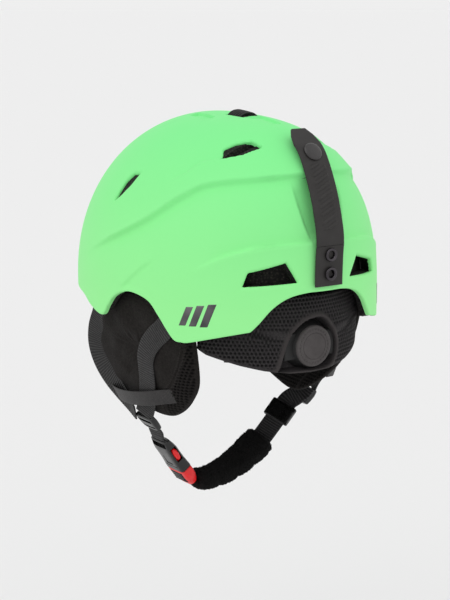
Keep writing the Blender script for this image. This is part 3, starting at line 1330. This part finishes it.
def build_chin(black):
    """The lower webbing on both sides, its slider and adjuster, and the pad."""
    web = webbing_look("webbing_chin", (44, 43, 44))
    left = ribbon("chin_web_left", LEFT_WEB, WEB_WIDTH, STRAP_THICK, web, 0.22)
    finish_piece(left, None, "webbing", "lower_strap_left")
    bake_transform(left)
    ring = block("strap_slider_left", BUCKLE_START, BUCKLE_ALONG, (0, 1, 0),
                 [(-7.6, 10.2, 1.0, 3), (-7.2, 10.6, 1.6, 3), (-5.0, 10.6, 1.6, 3), (-4.6, 10.2, 1.0, 3)],
                 black)
    finish_piece(ring, "chin_left", "black_plastic", "strap_keeper")
    right = ribbon("chin_web_right", RIGHT_WEB, WEB_WIDTH, STRAP_THICK, web, 0.22)
    finish_piece(right, None, "webbing", "chin_webbing", "lower_strap_right")
    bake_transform(right)
    along = unit((-28, 0, 29.6))
    adjuster = block("web_adjuster", np.array([-51.9, PIVOT_Y, -91.0]) - along * 8, along, RIGHT_ACROSS,
                     [(0, 11.0, 2.2, 6), (0.6, 11.5, 2.9, 6), (4, 11.6, 3.0, 6), (8, 11.6, 2.6, 6),
                      (12, 11.6, 3.0, 6), (15.4, 11.5, 2.9, 6), (16, 11.0, 2.2, 6)], black,
                     [((0, 0, 8), (18.8, 2.5, 30))]
                     + [((0, 2.6, place), (15, 2.0, 2.4)) for place in (5.2, 10.8)])
    soften(adjuster, 0.5)
    finish_piece(adjuster, "adjuster", "black_plastic", "chin_adjuster")
    build_chin_pad()


PAD_HALF_WIDTH, PAD_HALF_THICK, SCALLOP_PITCH = 13.6, 8.2, 17.0


def fleece_look():
    look = Look("fleece", 1.0, Sheen_Weight=0.04, Sheen_Roughness=0.7, Specular_IOR_Level=0.02)
    look.colour(look.ramp(look.noise(700, 6, 0.8), (0.3, srgb(4, 4, 4)), (0.85, srgb(26, 25, 25))))
    look.bump(look.noise(1500, 6, 0.8), 0.0012, 0.9)
    return look.material


def build_chin_pad():
    """A fleece sleeve round the webbing, gathered at intervals along its outer face."""
    count, ring = 190, 96
    path, side, out, even = strap_frame(CHIN_ROUTE, count)
    turn = np.linspace(0, 2 * math.pi, ring, endpoint=False)
    u, v = rounded_square(turn, 2.6)
    upper = np.maximum(np.sin(turn), 0)
    rows = []
    for k, t in enumerate(np.linspace(-1, 1, count)):
        cap = min(1, (1 - abs(t) ** 26) ** 0.5 + 0.02)
        gather = 0.055 * (0.5 + 0.5 * math.cos(2 * math.pi * even[k] / SCALLOP_PITCH)) ** 6
        rows.append(path[k] + side[k] * (PAD_HALF_WIDTH * cap * (1 - gather) * u)[:, None]
                    + out[k] * (PAD_HALF_THICK * cap * v * (1 - 4.2 * gather * upper))[:, None])
    piece = mesh_piece("chin_cushion", np.vstack(rows), tube_faces(count, ring), fleece_look())
    recalculate(piece)
    puff(piece, 1.5, pressure=2.0)
    fuzz = np.random.default_rng(7).normal(0, 1, len(piece.data.vertices))

    def fleece(points, normals):
        x, y, z = points.T
        clumps = np.sin(x * 2.1 + 3 * np.sin(y * 1.3)) * np.sin(z * 1.9 + y)
        return 0.34 * fuzz + 0.32 * clumps

    displace(piece, fleece)
    finish_piece(piece, "chin_right", "fleece", "chin_pad")


# ---- dividers, emblem and inner pads ----

def build_dividers(black):
    """The forks below the ear pads, where the front and rear straps meet the lower one."""
    along = unit((-0.62, 0, -0.78))
    origin = np.array([75.6, PIVOT_Y, -79.6]) - along * 7
    left = block("strap_fork_left", origin, along, (0, 1, 0),
                 [(0, 11.4, 1.8, 5), (0.7, 12.2, 2.6, 5), (5, 12.4, 3.0, 5), (10, 11.2, 3.0, 5),
                  (13.4, 10.2, 2.6, 5), (14, 9.6, 1.8, 5)], black,
                 [((0, 0, 3.6), (19, 8, 2.6)), ((0, 0, 10.4), (18, 8, 2.4))])
    soften(left, 0.4)
    right = mirrored("strap_fork_right", left)
    finish_piece(left, "helmet", "black_plastic", "strap_divider_left")
    finish_piece(right, "helmet", "black_plastic", "strap_divider_right")


BAR_WIDTH, BAR_LIFT = 5.2, 0.34


def build_emblem():
    """Three slanted bars on each side, following the shell."""
    look = Look("emblem_chrome", 0.28, Metallic=0.9)
    look.colour(look.ramp(look.noise(40, 2), (0.35, srgb(52, 52, 55)), (0.7, srgb(118, 116, 118))))
    look.rough(look.noise(900, 3), 0.22, 0.36)
    look.bump(look.noise(1600, 2), 0.00002, 0.4)
    across, up = 12, 30
    u, v = np.meshgrid(np.linspace(0, 1, across), np.linspace(0, 1, up))
    grid = np.arange(across * up).reshape(up, across)
    rim = [*grid[0], *grid[1:, -1], *grid[-1, -2::-1], *grid[-2:0:-1, 0]]
    bars = []
    for i in range(3):
        low_y, tall = 77.0 + 7.2 * i, 15.0 + 1.5 * i
        y, z = low_y + BAR_WIDTH * u + 5.5 * v, 13.0 + tall * v + 0.4 * u
        outer = shell_side(y, z)
        normal = np.stack([outer[..., 0] / HALF_WIDTH**2, outer[..., 1] / HALF_LENGTH**2, 0 * y], -1)
        normal /= np.linalg.norm(normal, axis=-1, keepdims=True)
        outer = outer + normal * moulded_relief(outer.reshape(-1, 3)).reshape(y.shape)[..., None]
        edge = np.minimum(np.minimum(u, 1 - u) * BAR_WIDTH, np.minimum(v, 1 - v) * tall)
        lift = BAR_LIFT * np.sqrt(np.clip(1 - (1 - np.clip(edge / 0.8, 0, 1)) ** 2, 0, 1)) - 0.1
        points = np.concatenate([outer + normal * lift[..., None], outer - normal * 0.3]).reshape(-1, 3)
        faces = grid_faces(up, across)
        faces += [tuple(q + grid.size for q in face[::-1]) for face in grid_faces(up, across)]
        faces += [(b, a, a + grid.size, b + grid.size) for a, b in zip(rim, rim[1:] + rim[:1])]
        bar = mesh_piece(f"emblem_bar_{i}", points, faces, look.material)
        recalculate(bar)
        bars.append(bar)
    join(bars[0], bars[1:])
    bars[0].name = "emblem_left"
    for piece in (bars[0], mirrored("emblem_right", bars[0])):
        finish_piece(piece, "helmet", "emblem_chrome", "side_emblems")


PAD_INSET = 28.0


def side_place(y, z, gap):
    inset = PAD_INSET - gap
    return inner_dome(np.arcsin(np.clip(y / (HALF_LENGTH - inset), -1, 1)), z, inset)


def brow_place(x, z, gap):
    inset = PAD_INSET - gap
    return inner_dome(-np.arccos(np.clip(x / (HALF_WIDTH - inset), -1, 1)), z, inset)


def crown_place(x, y, gap):
    inset = PAD_INSET - gap
    r = np.hypot(x / (HALF_WIDTH - inset), y / (HALF_LENGTH - inset))
    rise = (1 - r**2.2) ** (1 / 2.2)
    return np.stack([x, y, WIDEST + (CROWN - inset - WIDEST) * rise], axis=-1)


def build_inner_pads():
    """Thin pads against the liner, each given by its centre, half sizes and the surface it lies on."""
    cloth = comfort_look()
    u, v = rounded_square(np.linspace(0, 2 * math.pi, 80, endpoint=False), 4.0)
    for name, centre, half_a, half_b, place, node in (
            ("brow_cushion", (0.0, 36.0), 56, 8.5, brow_place, "brow_pad"),
            ("side_cushion_left", (6.0, 78.0), 36, 16.5, side_place, "side_pad_left"),
            ("crown_cushion", (0.0, 0.0), 21, 52, crown_place, "crown_pad")):
        outline = np.stack([centre[0] + half_a * u, centre[1] + half_b * v], axis=-1)
        pad = pillow(name, outline, np.array(centre), place, 6.0, 10, cloth, 6.0)
        subdivide(pad, 1)
        finish_piece(pad, "helmet", "comfort_fabric", node)
        if node == "side_pad_left":
            twin = mirrored("side_cushion_right", pad)
            finish_piece(twin, "helmet", "comfort_fabric", "side_pad_right")


def build_belts():
    """Copies of the CAD belts that bend where the cradle slides along them."""
    nylon = moulded("fit_plastic", (20, 19, 20), 0.45)
    for side in ("left", "right"):
        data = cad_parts[f"fit_belt_{side}"].data.copy()
        data.materials.clear()
        data.materials.append(nylon)
        belt = bpy.data.objects.new(f"fit_band_{side}", data)
        bpy.context.collection.objects.link(belt)
        with editing(belt) as work:
            for place in range(-40, 104, 6):
                bmesh.ops.bisect_plane(work, geom=work.verts[:] + work.edges[:] + work.faces[:],
                                       plane_co=(0, place * MM, 0), plane_no=(0, 1, 0))
        finish_piece(belt, None, "fit_plastic", f"fit_belt_{side}")
        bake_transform(belt)
    return nylon


# ---- CAD nodes that stay, with their materials ----

def dress(material, *names):
    for name in names:
        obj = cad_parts[name]
        obj.data.materials.clear()
        obj.data.materials.append(material)


# ---- the whole scene ----

bpy.context.scene.view_settings.view_transform = "Standard"
add_camera()
add_stage()
add_light("key", 95, 50, 60, 0.55)
add_light("fill", 200, 40, 80, 0.25)
build_shell()
build_ear_pads()
build_side_straps()
build_nape_pad()
build_dial()
build_snaps()
build_goggle_strap()
black_plastic = build_buckle()
build_chin(black_plastic)
build_dividers(black_plastic)
build_emblem()
build_inner_pads()
nylon = build_belts()
foam = foam_look()
dress(foam, "eps_liner")
build_vent_floors(foam)
build_grille()
dress(nylon, "cradle_frame", "pinion_shaft", "rack_left", "rack_right")
dress(metal("steel_pins", (150, 150, 152), 0.35), "strap_anchor_pins", "temple_pins", "detent_spring")
dress(metal("stud_metal", (80, 78, 80), 0.35), "snap_stud")
